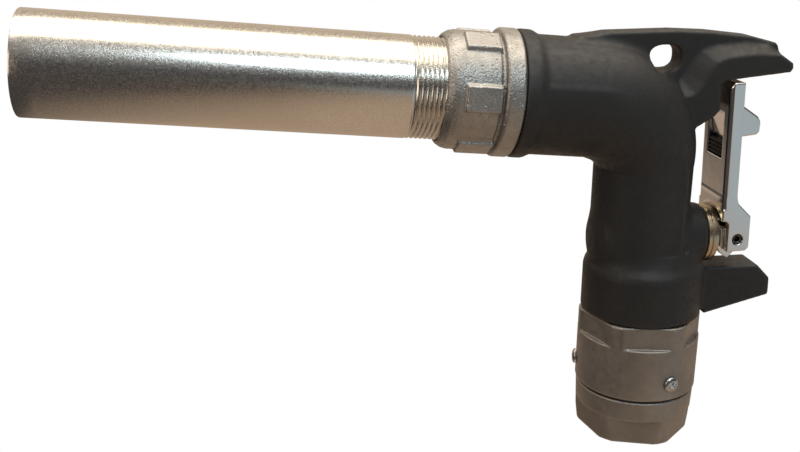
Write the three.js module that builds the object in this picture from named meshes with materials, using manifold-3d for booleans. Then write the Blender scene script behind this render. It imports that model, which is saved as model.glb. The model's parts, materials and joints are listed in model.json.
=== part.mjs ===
// Fuel nozzle: a galvanised pipe spout, a cast body with a cam lever, and a ball-bearing inlet swivel.
// Millimetres. Z runs up the handle from the inlet's mouth, and -X is the side the spout points to.
import * as THREE from "three";
import { mergeVertices } from "three/addons/utils/BufferGeometryUtils.js";
import Module from "manifold-3d";

const wasm = await Module();
wasm.setup();

// ---- Driving dimensions ----
const fitGap = 0.3; // left between any two pieces that meet

const pipeRadius = 24.13; // 1 1/2 inch pipe is 48.26 mm across
const pipeWall = 3.68;
const threadPitch = 2.209; // 11.5 threads to the inch
const threadDepth = 1.1;
const spoutRise = THREE.MathUtils.degToRad(5);
const spoutAxisHeight = 173.8; // where the spout's axis crosses the handle's
const spoutEnd = 297; // stations along the spout are counted from that crossing
const threadStart = 123.5;
const collarFront = 109;
const seamStation = 73.2; // where the collar meets the body

const barrelRadius = 28.6;
const handleRadius = 24.4;
const handleShift = -4; // the handle tube's axis lies this far toward the spout
const bendRadius = 34; // of the elbow's centre line
const castWall = 4.6;

const swivelRadius = 31;
const jointHeight = 25.5; // where the swivel turns
const swivelTop = 65.5;
const raceHeight = 35.5;
const ballRadius = 2.38; // 3/16 inch balls
const ballCircle = 24.2;
const tailRadius = ballCircle - 0.35;
const hexAcross = 52.8;
const hexTop = 14; // the wrench flats stop here, under the drum
const hexTurn = -17.5; // degrees from -Y to the first flat

const valveHeight = 105.5; // the stem's axis
const stemRadius = 4;
const stemStroke = 3.5;
const leverSwing = THREE.MathUtils.degToRad(70);
const pinX = 43;
const pinRadius = 2.5;
const nutEnd = 33.5; // outer face of the gland nut
const nutRadius = 14.7;
const washerThickness = 1.2;
const leverLean = THREE.MathUtils.degToRad(2); // the closed lever leans toward the handle
const leverHalfWidth = 14.3;
const leverLength = 79.5;

const hornHalf = 6.5; // half thickness of the horn's web
const saddleHalf = 13; // half width of the thick flange under it
const lugHalf = 9;
const lugTop = 89;

// Numbers of sides on round pieces.
const roundLarge = 40;
const roundMedium = 24;
const roundSmall = 16;

// ---- Sizes worked out from them ----
const pipeBore = pipeRadius - pipeWall;
const threadRoot = pipeRadius - threadDepth;
const bendX = handleShift - bendRadius;
const bendZ = spoutAxisHeight - bendX * Math.tan(spoutRise) - bendRadius / Math.cos(spoutRise);
const camBase = pinX - nutEnd - washerThickness - fitGap; // pin to the face that the cam bears on
const camRate = stemStroke / leverSwing; // millimetres of lift for each radian
const hexApothem = hexAcross / 2;

// ---- Geometry helpers ----
// A manifold-3d solid of a three.js geometry, with coincident vertices merged.
function solidOf(geometry) {
  const bare = geometry.clone();
  bare.deleteAttribute("normal");
  bare.deleteAttribute("uv");
  const merged = mergeVertices(bare, 1e-4);
  const corners = merged.index.array;
  const kept = [];
  for (let i = 0; i < corners.length; i += 3) {
    const [a, b, c] = corners.slice(i, i + 3);
    if (a !== b && b !== c && c !== a) kept.push(a, b, c);
  }
  return new wasm.Manifold(
    new wasm.Mesh({
      numProp: 3,
      vertProperties: new Float32Array(merged.attributes.position.array),
      triVerts: new Uint32Array(kept),
    }),
  );
}

function geometryOf(solid) {
  const mesh = solid.getMesh();
  const geometry = new THREE.BufferGeometry();
  geometry.setAttribute("position", new THREE.BufferAttribute(mesh.vertProperties, 3));
  geometry.setIndex(new THREE.BufferAttribute(mesh.triVerts, 1));
  const facets = geometry.toNonIndexed();
  facets.computeVertexNormals();
  return facets;
}

const join = (first, ...others) => others.reduce((sum, next) => sum.add(next), first);
const cut = (first, ...tools) => tools.reduce((rest, tool) => rest.subtract(tool), first);

// A solid of revolution about Z. The profile is a closed list of [radius, height], in either direction.
function turned(profile, sides = roundLarge) {
  const area = profile.reduce((sum, [r, h], i) => {
    const [rNext, hNext] = profile[(i + 1) % profile.length];
    return sum + r * hNext - rNext * h;
  }, 0);
  const ordered = area > 0 ? [...profile] : [...profile].reverse();
  const points = [...ordered, ordered[0]].map(([r, h]) => new THREE.Vector2(r, h));
  return new THREE.LatheGeometry(points, sides).rotateX(Math.PI / 2);
}

const disc = (radius, from, to, sides) =>
  turned([[0, from], [radius, from], [radius, to], [0, to]], sides);
const ring = (inner, outer, from, to, sides) =>
  turned([[inner, from], [outer, from], [outer, to], [inner, to]], sides);

// The same along the valve's axis, where heights in the profile are X positions.
const alongValve = (geometry) => geometry.rotateY(Math.PI / 2).translate(0, 0, valveHeight);

// The same along the spout, where heights in the profile are stations.
const alongSpout = (geometry) =>
  geometry.rotateY(spoutRise - Math.PI / 2).translate(0, 0, spoutAxisHeight);

// An outline in the XZ plane given thickness both ways in Y.
function plate(outline, halfWidth) {
  const shape = new THREE.Shape(outline.map(([x, z]) => new THREE.Vector2(x, z)));
  return new THREE.ExtrudeGeometry(shape, { depth: 2 * halfWidth, bevelEnabled: false })
    .rotateX(Math.PI / 2)
    .translate(0, halfWidth, 0);
}

function block(x0, x1, y0, y1, z0, z1) {
  return new THREE.BoxGeometry(x1 - x0, y1 - y0, z1 - z0)
    .translate((x0 + x1) / 2, (y0 + y1) / 2, (z0 + z1) / 2);
}

// A skin stretched over rings of points, each ring with the same number, and closed at both ends.
function loft(rings) {
  const count = rings[0].length;
  const positions = rings.flat().flatMap((p) => [p.x, p.y, p.z]);
  const index = [];
  for (let i = 0; i + 1 < rings.length; i += 1) {
    for (let j = 0; j < count; j += 1) {
      const a = i * count + j;
      const b = i * count + ((j + 1) % count);
      index.push(a, b, b + count, a, b + count, a + count);
    }
  }
  const last = (rings.length - 1) * count;
  for (let j = 1; j + 1 < count; j += 1) {
    index.push(0, j + 1, j, last, last + j, last + j + 1);
  }
  const geometry = new THREE.BufferGeometry();
  geometry.setAttribute("position", new THREE.Float32BufferAttribute(positions, 3));
  geometry.setIndex(index);
  return geometry;
}

const rad = THREE.MathUtils.degToRad;
const hexPrism = (apothem, from, to) =>
  disc(apothem / Math.cos(Math.PI / 6), from, to, 6);

// ---- Materials ----
const paint = (color, roughness, metalness) =>
  new THREE.MeshStandardMaterial({ color, roughness, metalness });
const galvanised = paint(0xc9c5bb, 0.38, 1);
const platedCast = paint(0xb9b5ab, 0.5, 1);
const blackCoat = paint(0x2e2f31, 0.62, 0.1);
const castAluminium = paint(0x9b938a, 0.5, 0.9);
const chrome = paint(0xdcdcdc, 0.12, 1);
const brass = paint(0xc69a5b, 0.28, 1);
const steel = paint(0x8e9093, 0.35, 1);
const rubber = paint(0x1b1b1c, 0.8, 0);
const nylon = paint(0x3a3a3c, 0.7, 0);

const nozzle = new THREE.Group();

function addPiece(name, solid, material) {
  const mesh = new THREE.Mesh(geometryOf(solid), material);
  mesh.name = name;
  nozzle.add(mesh);
  return mesh;
}

// ---- Spout ----
function spoutTube() {
  const innerEnd = seamStation + 14;
  const profile = [[pipeBore, innerEnd], [threadRoot, innerEnd], [threadRoot, collarFront - 2]];
  for (let crest = collarFront - 1; crest < threadStart; crest += threadPitch) {
    profile.push([threadRoot, crest - threadPitch / 2 + 0.15]);
    profile.push([pipeRadius - 0.15, crest - 0.25]);
    profile.push([pipeRadius - 0.15, crest + 0.25]);
  }
  profile.push([pipeRadius, threadStart + 0.6]);
  profile.push([pipeRadius, spoutEnd - 0.8], [pipeRadius - 0.8, spoutEnd]);
  profile.push([pipeBore + 0.6, spoutEnd], [pipeBore, spoutEnd - 0.6]);
  return solidOf(alongSpout(turned(profile)));
}

// The collar screws into the barrel with its nipple, and the pipe screws into its front.
const nippleRadius = 24.9;
const nippleEnd = seamStation - 16;
const oRingStation = seamStation - 12;
const oRingSection = 1.5;

function spoutCollar() {
  const socket = pipeRadius + fitGap;
  const bodyRadius = 28;
  const ringBack = seamStation + 9.2;
  const body = turned([
    [pipeBore, nippleEnd],
    [nippleRadius, nippleEnd],
    [nippleRadius, oRingStation - 1.7],
    [nippleRadius - 2.2, oRingStation - 1.7],
    [nippleRadius - 2.2, oRingStation + 1.7],
    [nippleRadius, oRingStation + 1.7],
    [nippleRadius, seamStation + fitGap],
    [29.6, seamStation + fitGap],
    [30.5, seamStation + 1.4],
    [30.5, ringBack - 1.2],
    [29.7, ringBack],
    [27.3, ringBack + 0.4],
    [27.3, ringBack + 1.8],
    [bodyRadius, ringBack + 2.6],
    [bodyRadius, collarFront - 5.5],
    [bodyRadius - 0.6, collarFront - 3],
    [bodyRadius - 2, collarFront - 0.8],
    [bodyRadius - 3.1, collarFront],
    [socket, collarFront],
    [socket, seamStation + 13],
    [pipeBore, seamStation + 13],
  ]);
  const lugLength = 15;
  const lugWidth = 11.4;
  const lugTurn = 2.5; // degrees above level, for the lug on the -Y side
  const lugs = Array.from({ length: 6 }, (_, i) => {
    const lug = block(-lugWidth / 2, lugWidth / 2, -29.5, -26, 0, lugLength);
    lug.translate(0, 0, ringBack + 2.8).rotateZ(rad(lugTurn + 60 * i));
    return solidOf(alongSpout(lug));
  });
  return join(solidOf(alongSpout(body)), ...lugs);
}

// ---- Cast body ----
// A place on the centre line from the handle, round the elbow, into the barrel: its point and the
// direction in the XZ plane that points away from the bend's centre.
function handlePlace(height) {
  return { x: handleShift, z: height, ux: 1, uz: 0 };
}
function bendPlace(angle) {
  const ux = Math.cos(angle);
  const uz = Math.sin(angle);
  return { x: bendX + bendRadius * ux, z: bendZ + bendRadius * uz, ux, uz };
}
function barrelPlace(station) {
  return {
    x: -station * Math.cos(spoutRise),
    z: spoutAxisHeight + station * Math.sin(spoutRise),
    ux: Math.sin(spoutRise),
    uz: Math.cos(spoutRise),
  };
}
function sectionAt(place, outline) {
  return outline.map(([out, side]) =>
    new THREE.Vector3(place.x + out * place.ux, side, place.z + out * place.uz));
}
function circleOutline(radius, sides) {
  return Array.from({ length: sides }, (_, i) => {
    const turn = (2 * Math.PI * i) / sides;
    return [radius * Math.cos(turn), radius * Math.sin(turn)];
  });
}
// Blend along the elbow, 0 at the handle and 1 at the barrel.
const bendSteps = 12;
const bendEnd = Math.PI / 2 - spoutRise;
function elbow(outlineAt, bottom, station) {
  const rings = [sectionAt(handlePlace(bottom), outlineAt(0))];
  for (let i = 0; i <= bendSteps; i += 1) {
    const blend = i / bendSteps;
    rings.push(sectionAt(bendPlace(bendEnd * blend), outlineAt(blend)));
  }
  rings.push(sectionAt(barrelPlace(station), outlineAt(1)));
  return loft(rings);
}
const smooth = (blend) => Math.sin((Math.PI / 2) * Math.min(1, 1.3 * blend));
const mix = (a, b, blend) => a + (b - a) * blend;

// The flat-sided rib that runs along the barrel, round the elbow and down the handle's rear.
function ribOutline(blend) {
  const half = mix(22.6, 27.5, blend);
  const out = mix(15.6, 9.5, Math.min(1, 4 * blend));
  const corner = 3.5;
  return [
    [-8, -half], [out - corner, -half], [out, corner - half],
    [out, half - corner], [out - corner, half], [-8, half],
  ];
}

const hornCrest = [
  [-44, 199], [-42, 206.6], [-28, 208.8], [4.4, 209.2], [23, 208.2], [43.5, 205.7], [56.4, 202.3],
  [57.6, 200.6], [59, 193], [34, 189], [24, 184], [20, 174], [0, 168],
];
const hangingHole = { x: 0.6, z: 196.2, halfWidth: 8, halfHeight: 6.2 };
// Rounder than a rectangle and squarer than an ellipse.
function hangingHoleOutline() {
  const squareness = 0.77;
  const bent = (value) => Math.sign(value) * Math.abs(value) ** squareness;
  return circleOutline(1, roundMedium).map(([c, s]) => [
    hangingHole.x + hangingHole.halfWidth * bent(c),
    hangingHole.z + hangingHole.halfHeight * bent(s),
  ]);
}
// The saddle's edge lines, near its face and where its bevel meets the web.
const saddleFace = [
  [-18, 160], [8, 152], [13.5, 161.5], [25.3, 168.6], [27.8, 171.6], [27, 183.6], [29, 185.6],
  [37.3, 186.6], [62, 189], [63.2, 190.6], [62.8, 193.4], [56, 197.4], [43, 197.8],
  [29, 196.4], [24, 194.4], [21.4, 190.2], [18.8, 184.6], [14.5, 179.2], [-3, 176],
];
const bevelShift = [
  [0, 0], [0, 0], [0, 0], [0, 0], [0, 0], [0, 0], [0, 0],
  [0, 0], [-2, 1], [-3, 1.5], [-4, 3.5], [-4, 4.4], [-3, 5],
  [-4, 5], [-5, 5], [-6, 5], [-7, 5], [-6, 6], [-2, 6],
];

function saddle() {
  const web = saddleFace.map(([x, z], i) => [x + bevelShift[i][0], z + bevelShift[i][1]]);
  const layer = (outline, y) => outline.map(([x, z]) => new THREE.Vector3(x, y, z)).reverse();
  return loft([
    layer(saddleFace, -saddleHalf),
    layer(web, -hornHalf - fitGap),
    layer(web, hornHalf + fitGap),
    layer(saddleFace, saddleHalf),
  ]);
}

const lugOutline = [
  [0, 66], [31.5, 66], [31.5, 63.4], [66.2, 72.4], [66, 81.4], [58.6, lugTop], [20, lugTop],
  [10, 96], [0, 96],
];

const socketRadius = 30.3;
const bossRadius = 17;
const bossEnd = 27.6;
const seatWallFront = -15;
const seatWallRear = -10;
const seatHole = 10.6;
const glandHole = 13.1;
const nippleSocket = nippleRadius + fitGap;
const swivelNipple = 24.2;

function bodyOutside() {
  const tube = elbow((blend) => circleOutline(
    mix(handleRadius, barrelRadius, smooth(blend)), roundLarge), swivelTop + 8, seamStation - 3);
  const rib = elbow(ribOutline, swivelTop + 20, seamStation - 10);
  const socket = turned([
    [0, swivelTop + fitGap], [29.2, swivelTop + fitGap], [socketRadius, swivelTop + 1.2],
    [socketRadius, 89], [29.6, 91.6], [27.2, 95], [24.4, 101], [0, 101],
  ]);
  const bead = turned([
    [0, seamStation - 14], [barrelRadius, seamStation - 9.4], [30, seamStation - 7.4],
    [30.5, seamStation - 6], [30.5, seamStation - 1], [29.8, seamStation], [0, seamStation],
  ]);
  const boss = turned([
    [0, -10], [bossRadius, -10], [bossRadius, 16], [bossRadius - 1.7, bossEnd - 0.8],
    [bossRadius - 2.3, bossEnd], [0, bossEnd],
  ], roundMedium);
  const bulge = turned([
    [0, -28.7], [8, -28.3], [13, -25], [15, -20], [15.5, -8], [0, -8],
  ], roundMedium);
  return join(
    solidOf(tube),
    solidOf(rib),
    solidOf(socket),
    solidOf(alongSpout(bead)),
    solidOf(alongValve(boss)),
    solidOf(alongValve(bulge)),
    solidOf(plate(hornCrest, hornHalf)),
    solidOf(saddle()),
    solidOf(plate(lugOutline, lugHalf)),
  );
}

// The waterway: up from the inlet behind the seat wall, through the seat, and up in front of it.
function bodyWaterway() {
  const bore = handleRadius - castWall;
  const inHandle = (from, to) => disc(bore, from, to).translate(handleShift, 0, 0);
  const behind = solidOf(inHandle(80, 122)).intersect(
    solidOf(block(seatWallRear, 40, -40, 40, 70, 130)));
  const front = solidOf(inHandle(91, 130)).intersect(
    solidOf(block(-60, seatWallFront, -40, 40, 80, 140)));
  const upper = elbow((blend) => circleOutline(
    mix(bore, pipeBore, blend), roundMedium), 127, seamStation + 5);
  return join(
    solidOf(disc(swivelNipple + fitGap, swivelTop - 5, 84.5)),
    solidOf(disc(20, 80, 87)),
    behind,
    front,
    solidOf(upper),
    solidOf(alongSpout(disc(nippleSocket, nippleEnd - fitGap, seamStation + 5))),
    solidOf(alongValve(disc(seatHole, seatWallFront - 3, seatWallRear + 3, roundMedium))),
    solidOf(alongValve(disc(glandHole, 8, bossEnd + 5))),
  );
}

function nozzleBody() {
  const hole = plate(hangingHoleOutline(), saddleHalf + 5);
  const swivelRoom = disc(swivelRadius + 0.5, 50, swivelTop + fitGap);
  const nutRoom = alongValve(disc(nutRadius + 0.8, bossEnd, nutEnd));
  return cut(bodyOutside(), bodyWaterway(), solidOf(hole), solidOf(swivelRoom), solidOf(nutRoom));
}

// ---- Valve, all turned about the stem's axis ----
const seatLip = seatWallRear + 2.6;
const sealThickness = 2.8;
const poppetFront = seatLip + fitGap + sealThickness + fitGap;
const poppetBack = poppetFront + 3.4;
const followerFace = 13.6;
const nutInner = 14;
const packingRoom = 8.2;
const packingEnd = 26.2;

function seatRing() {
  return solidOf(alongValve(turned([
    [8.4, seatWallFront + 0.4], [seatHole - fitGap, seatWallFront + 0.4],
    [seatHole - fitGap, seatWallRear + fitGap], [12.4, seatWallRear + fitGap],
    [12.4, seatLip - 0.9], [10, seatLip], [9.4, seatLip], [8.4, seatLip - 1],
  ], roundMedium)));
}

function poppetSeal() {
  return solidOf(alongValve(ring(
    3 + fitGap, 11, seatLip + fitGap, poppetFront - fitGap, roundMedium)));
}

function poppet() {
  return solidOf(alongValve(turned([
    [3 + fitGap, poppetFront], [11.8, poppetFront], [11.8, poppetFront + 2],
    [10, poppetBack], [5.1, poppetBack], [5.1, poppetBack + 1.6], [4.6, poppetBack + 1.6],
    [4.6, poppetFront + 2], [3 + fitGap, poppetFront + 2],
  ], roundMedium)));
}

function poppetNut() {
  const across = 5;
  const nutFrom = seatLip - 4;
  const hex = hexPrism(across, nutFrom, seatLip);
  return cut(
    solidOf(alongValve(hex)),
    solidOf(alongValve(disc(3 + fitGap, nutFrom - 1, seatLip + 1, roundSmall))));
}

const tongueHalf = 3.4;
const tongueHeight = 4.6;
const eyeRadius = 4.6;

function valveStem() {
  const shoulder = poppetFront + 2 + fitGap;
  const rod = turned([
    [0, seatLip - 5.4], [2.5, seatLip - 5.4], [3, seatLip - 4.9], [3, shoulder],
    [stemRadius, shoulder], [stemRadius, nutEnd + 1], [0, nutEnd + 1],
  ], roundSmall);
  const eye = disc(eyeRadius, -tongueHalf, tongueHalf, roundSmall)
    .rotateX(Math.PI / 2)
    .translate(pinX, 0, valveHeight);
  const tongue = block(
    nutEnd, pinX, -tongueHalf, tongueHalf,
    valveHeight - tongueHeight / 2, valveHeight + tongueHeight / 2);
  return cut(
    join(solidOf(alongValve(rod)), solidOf(eye), solidOf(tongue)),
    solidOf(pinCutter(pinRadius + fitGap)));
}

function pinCutter(radius) {
  return disc(radius, -30, 30, roundSmall)
    .rotateX(Math.PI / 2)
    .translate(pinX, 0, valveHeight);
}

class Coil extends THREE.Curve {
  constructor(radius, from, to, turns) {
    super();
    Object.assign(this, { radius, from, to, turns });
  }
  getPoint(t, target = new THREE.Vector3()) {
    const angle = 2 * Math.PI * this.turns * t;
    const x = this.from + (this.to - this.from) * t;
    return target.set(x, this.radius * Math.cos(angle), this.radius * Math.sin(angle));
  }
}

function valveSpring() {
  const wire = 0.8;
  const turns = 4;
  const path = new Coil(6.4, poppetBack + wire + fitGap, followerFace - wire - fitGap, turns);
  const section = new THREE.Shape().absarc(0, 0, wire, 0, 2 * Math.PI);
  const wound = new THREE.ExtrudeGeometry(section, {
    steps: 18 * turns, curveSegments: 4, extrudePath: path, bevelEnabled: false,
  });
  return solidOf(wound.translate(0, 0, valveHeight));
}

function glandFollower() {
  return solidOf(alongValve(turned([
    [stemRadius + fitGap, followerFace], [7.9, followerFace], [7.9, followerFace + 6],
    [stemRadius + fitGap, followerFace + 6],
  ], roundMedium)));
}

function glandPacking() {
  return solidOf(alongValve(ring(
    stemRadius + fitGap, packingRoom - fitGap, followerFace + 6 + fitGap, packingEnd - fitGap,
    roundMedium)));
}

function glandNut() {
  const blank = turned([
    [packingRoom, nutInner], [glandHole - fitGap, nutInner],
    [glandHole - fitGap, bossEnd + fitGap], [nutRadius, bossEnd + fitGap],
    [nutRadius, nutEnd - 0.8], [nutRadius - 0.8, nutEnd], [stemRadius + fitGap, nutEnd],
    [stemRadius + fitGap, packingEnd], [packingRoom, packingEnd],
  ], roundLarge);
  const spannerHoles = [45, 135, 225, 315].map((turn) => solidOf(alongValve(
    disc(1.3, nutEnd - 2, nutEnd + 2, 12).translate(11.2, 0, 0).rotateZ(rad(turn)))));
  return cut(solidOf(alongValve(blank)), ...spannerHoles);
}

function thrustWasher() {
  const from = nutEnd + fitGap;
  return solidOf(alongValve(ring(
    stemRadius + 0.5, 9, from, from + washerThickness - fitGap, roundMedium)));
}

// ---- Lever ----
// Outlines here are counted from the pin, with the second number up the closed lever.
const barFront = -8.6;
const barRear = -1.4;
const blockRear = 6.3;
const forkSlot = stemRadius + 0.4;
const lobeHalf = 8.5;
const pocket = { half: 8, from: 41, to: 64, depth: 3 };
const padTeeth = 4;
const padPitch = 2;
const plateEnd = 9.8;

function camOutline() {
  const outline = [[4, 4], [-camBase, 4]];
  const steps = 12;
  for (let i = 0; i <= steps; i += 1) {
    const turn = (leverSwing * i) / steps;
    const reach = camBase + camRate * turn;
    outline.push([
      -reach * Math.cos(turn) + camRate * Math.sin(turn),
      -reach * Math.sin(turn) - camRate * Math.cos(turn),
    ]);
  }
  outline.push([3.4, outline.at(-1)[1]], [4, -6]);
  return outline;
}

const atPin = (geometry) => geometry.translate(pinX, 0, valveHeight);
const leaned = (geometry) => atPin(geometry.rotateY(-leverLean));

function leverBlank() {
  const barOutline = [
    [barFront, plateEnd], [barRear, plateEnd], [barRear, leverLength], [barFront + 2, leverLength],
    [barFront, leverLength - 2.2],
  ];
  const blockOutline = [
    [-5.4, -6.4], [4.6, -6.4], [blockRear, -4.6], [blockRear, 11.6], [barRear, 19.6],
    [barRear - 2, 24], [barFront + 0.6, 22], [-5.4, 17],
  ];
  const tabOutline = [
    [barRear - 1, 49.8], [11.2, 50.8], [12.6, 52.2], [12.9, 57], [11.4, 60],
    [barRear - 1, 70],
  ];
  return join(
    solidOf(leaned(plate(barOutline, leverHalfWidth))),
    solidOf(leaned(plate(blockOutline, leverHalfWidth))),
    solidOf(leaned(plate(tabOutline, 4.2))),
    solidOf(atPin(plate(camOutline(), lobeHalf))),
  );
}

function lever() {
  const slot = plate(
    [[-40, -30], [5.4, -30], [5.4, 5.4], [-40, 5.4]], forkSlot);
  // The pocket is deep where it holds the pad, and slopes out to the face above it.
  const floor = barFront + pocket.depth;
  const padTop = pocket.from + padTeeth * padPitch + 2 * fitGap;
  const trough = plate([
    [barFront - 1, pocket.from], [floor, pocket.from], [floor, padTop], [barFront, pocket.to],
    [barFront - 1, pocket.to],
  ], pocket.half);
  const edges = [-1, 1].map((side) => {
    const wedge = block(-2.4, 2.4, -2.4, 2.4, 16, leverLength + 5).rotateZ(Math.PI / 4);
    return solidOf(leaned(wedge.translate(barFront - 1.6, side * (leverHalfWidth + 0.4), 0)));
  });
  const nutRoom = disc(nutRadius + 1.2, 0, nutEnd + 0.6, roundLarge);
  return cut(
    leverBlank(),
    solidOf(atPin(slot)),
    solidOf(pinCutter(pinRadius + fitGap)),
    solidOf(leaned(trough)),
    solidOf(alongValve(nutRoom)),
    ...edges,
  );
}

function leverPad() {
  const inset = fitGap;
  const low = pocket.from + inset;
  const outline = [[barFront + pocket.depth - inset, low]];
  for (let i = 0; i < padTeeth; i += 1) {
    outline.push([barFront + 1.4, low + padPitch * i], [barFront + 0.2, low + padPitch * (i + 0.5)]);
  }
  const high = low + padPitch * padTeeth;
  outline.push([barFront + 1.4, high], [barFront + pocket.depth - inset, high]);
  return solidOf(leaned(plate(outline, pocket.half - inset)));
}

function pivotPin() {
  const half = leverHalfWidth - 0.7;
  const shank = disc(pinRadius, -half, half, roundSmall);
  const key = hexPrism(1.5, half - 2.5, half + 1);
  return cut(
    solidOf(atPin(shank.rotateX(Math.PI / 2))),
    solidOf(atPin(key.rotateX(Math.PI / 2))));
}

// ---- Inlet swivel ----
const inletBore = 20;
const tailTop = 51;
const hoseThread = 23.9; // a 1 1/2 inch pipe thread, near its root
const hoseThreadDepth = 19;
const cornerRadius = 28.7; // of the hexagon's corners at the mouth, which draw in a little
const cornerTaper = 8;
const plugHead = 4;
const swivelSealHeight = 44;
const plugTurns = [13.9, 133.9, 253.9];

const raceGroove = (radius) => {
  const groove = new THREE.TorusGeometry(ballCircle, radius, 8, roundLarge);
  return solidOf(groove.translate(0, 0, raceHeight));
};

function inletAdapter() {
  const drum = swivelRadius - 1.3;
  const turnedShape = turned([
    [inletBore, hoseThreadDepth], [hoseThread, hoseThreadDepth - 1.5], [hoseThread, 0.6],
    [hoseThread + 0.6, 0], [cornerRadius - 0.4, 0],
    [cornerRadius, 0.5], [drum, cornerTaper], [drum + 0.7, jointHeight - 1.2],
    [drum + 0.3, jointHeight - 0.7],
    [tailRadius, jointHeight - 0.7], [tailRadius, swivelSealHeight - 1.9],
    [tailRadius - 2.1, swivelSealHeight - 1.9], [tailRadius - 2.1, swivelSealHeight + 1.9],
    [tailRadius, swivelSealHeight + 1.9], [tailRadius, tailTop - 0.8],
    [tailRadius - 0.8, tailTop], [inletBore, tailTop],
  ], 2 * roundMedium);
  const trims = Array.from({ length: 6 }, (_, i) => {
    const slab = block(-25, 25, -40, -hexApothem, -1, hexTop);
    return solidOf(slab.rotateZ(rad(hexTurn + 60 * i)));
  });
  return cut(solidOf(turnedShape), ...trims, raceGroove(ballRadius + 0.4));
}

function swivelBody() {
  const blank = turned([
    [ballCircle + 0.25, jointHeight + 0.7], [swivelRadius - 0.5, jointHeight + 0.7],
    [swivelRadius, jointHeight + 1.3], [swivelRadius, swivelTop - 0.6],
    [swivelRadius - 0.6, swivelTop], [swivelNipple, swivelTop],
    [swivelNipple, swivelTop + 15], [swivelNipple - 1, swivelTop + 16],
    [inletBore, swivelTop + 16], [inletBore, tailTop + 0.6], [ballCircle + 0.25, tailTop + 0.6],
  ], 2 * roundMedium);
  const flatApothem = 28.3;
  const flats = Array.from({ length: 6 }, (_, i) => {
    const slab = block(-25, 25, -40, -flatApothem, swivelTop - 11.6, swivelTop + 1);
    return solidOf(slab.rotateZ(rad(-10.5 + 60 * i)));
  });
  const plugHoles = plugTurns.map((turn) => solidOf(
    radial(disc(ballRadius + 0.35, ballCircle - 0.5, 40, roundSmall), turn)));
  return cut(solidOf(blank), ...flats, ...plugHoles, raceGroove(ballRadius + 0.4));
}

// Lays a piece turned about Z along a radius at the race's height. A turn of 0 faces -Y.
function radial(geometry, turn) {
  return geometry.rotateX(Math.PI / 2).rotateZ(rad(turn)).translate(0, 0, raceHeight);
}

function plugScrew(turn) {
  const head = swivelRadius + 0.35;
  const shape = turned([
    [0, ballCircle + ballRadius + 0.5], [ballRadius, ballCircle + ballRadius + 0.5],
    [ballRadius, head], [plugHead, head], [plugHead, head + 0.4],
    [plugHead - 0.7, head + 1.2], [plugHead - 1.8, head + 1.7],
    [0, head + 1.7],
  ], roundSmall);
  const key = hexPrism(1.25, head + 0.9, head + 3);
  return cut(solidOf(radial(shape, turn)), solidOf(radial(key, turn)));
}

// A full complement of balls, each joined to the next by a thin ring through their centres.
function bearingBalls() {
  const count = Math.floor((2 * Math.PI * ballCircle) / (2 * ballRadius - 0.02));
  const balls = Array.from({ length: count }, (_, i) => {
    const turn = (2 * Math.PI * i) / count;
    const bead = new THREE.SphereGeometry(ballRadius, 7, 5).rotateY(turn);
    const [x, y] = [ballCircle * Math.sin(turn), -ballCircle * Math.cos(turn)];
    return solidOf(bead.translate(x, y, raceHeight));
  });
  const link = new THREE.TorusGeometry(ballCircle, 0.5, 4, roundMedium).translate(0, 0, raceHeight);
  return join(solidOf(link), ...balls);
}

const sealRing = (circle, section, height) =>
  solidOf(new THREE.TorusGeometry(circle, section, 8, roundMedium).translate(0, 0, height));

// ---- Assembly ----
addPiece("spout_tube", spoutTube(), galvanised);
addPiece("spout_collar", spoutCollar(), platedCast);
addPiece("collar_o_ring", solidOf(alongSpout(new THREE.TorusGeometry(
  nippleRadius - 0.7, oRingSection - 0.6, 8, roundMedium).translate(0, 0, oRingStation))), rubber);
addPiece("nozzle_body", nozzleBody(), blackCoat);
addPiece("seat_ring", seatRing(), brass);
addPiece("poppet_seal", poppetSeal(), rubber);
addPiece("poppet", poppet(), brass);
addPiece("poppet_nut", poppetNut(), steel);
addPiece("valve_stem", valveStem(), steel);
addPiece("valve_spring", valveSpring(), steel);
addPiece("gland_follower", glandFollower(), brass);
addPiece("gland_packing", glandPacking(), nylon);
addPiece("gland_nut", glandNut(), brass);
addPiece("thrust_washer", thrustWasher(), steel);
addPiece("lever", lever(), chrome);
addPiece("lever_pad", leverPad(), rubber);
addPiece("pivot_pin", pivotPin(), steel);
addPiece("swivel_body", swivelBody(), castAluminium);
addPiece("body_gasket", solidOf(ring(
  inletBore + 0.4, swivelNipple - 0.6, swivelTop + 16.3, swivelTop + 18.7)), nylon);
addPiece("bearing_balls", bearingBalls(), steel);
plugTurns.forEach((turn, i) => addPiece(`plug_screw_${i + 1}`, plugScrew(turn), steel));
addPiece("swivel_seal", sealRing(tailRadius - 0.95, 0.9, swivelSealHeight), rubber);
addPiece("dust_seal", solidOf(ring(
  tailRadius + 0.8, swivelRadius - 1.2, jointHeight - 0.4, jointHeight + 0.4)), rubber);
addPiece("inlet_adapter", inletAdapter(), castAluminium);

export default nozzle;
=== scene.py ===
# %% [markdown]
# # A bulk fuel nozzle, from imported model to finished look
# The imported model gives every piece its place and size, in metres, with Z up the handle. This
# lesson puts a finer skin over the pieces that show, gives every piece a material, and lights them.
# Castings could be made by sculpting or with booleans and bevels. Here each one is a distance
# field, because unions and cuts in a field get soft fillets, the way a sand mould gives them.

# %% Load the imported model
import json
import math

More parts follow.
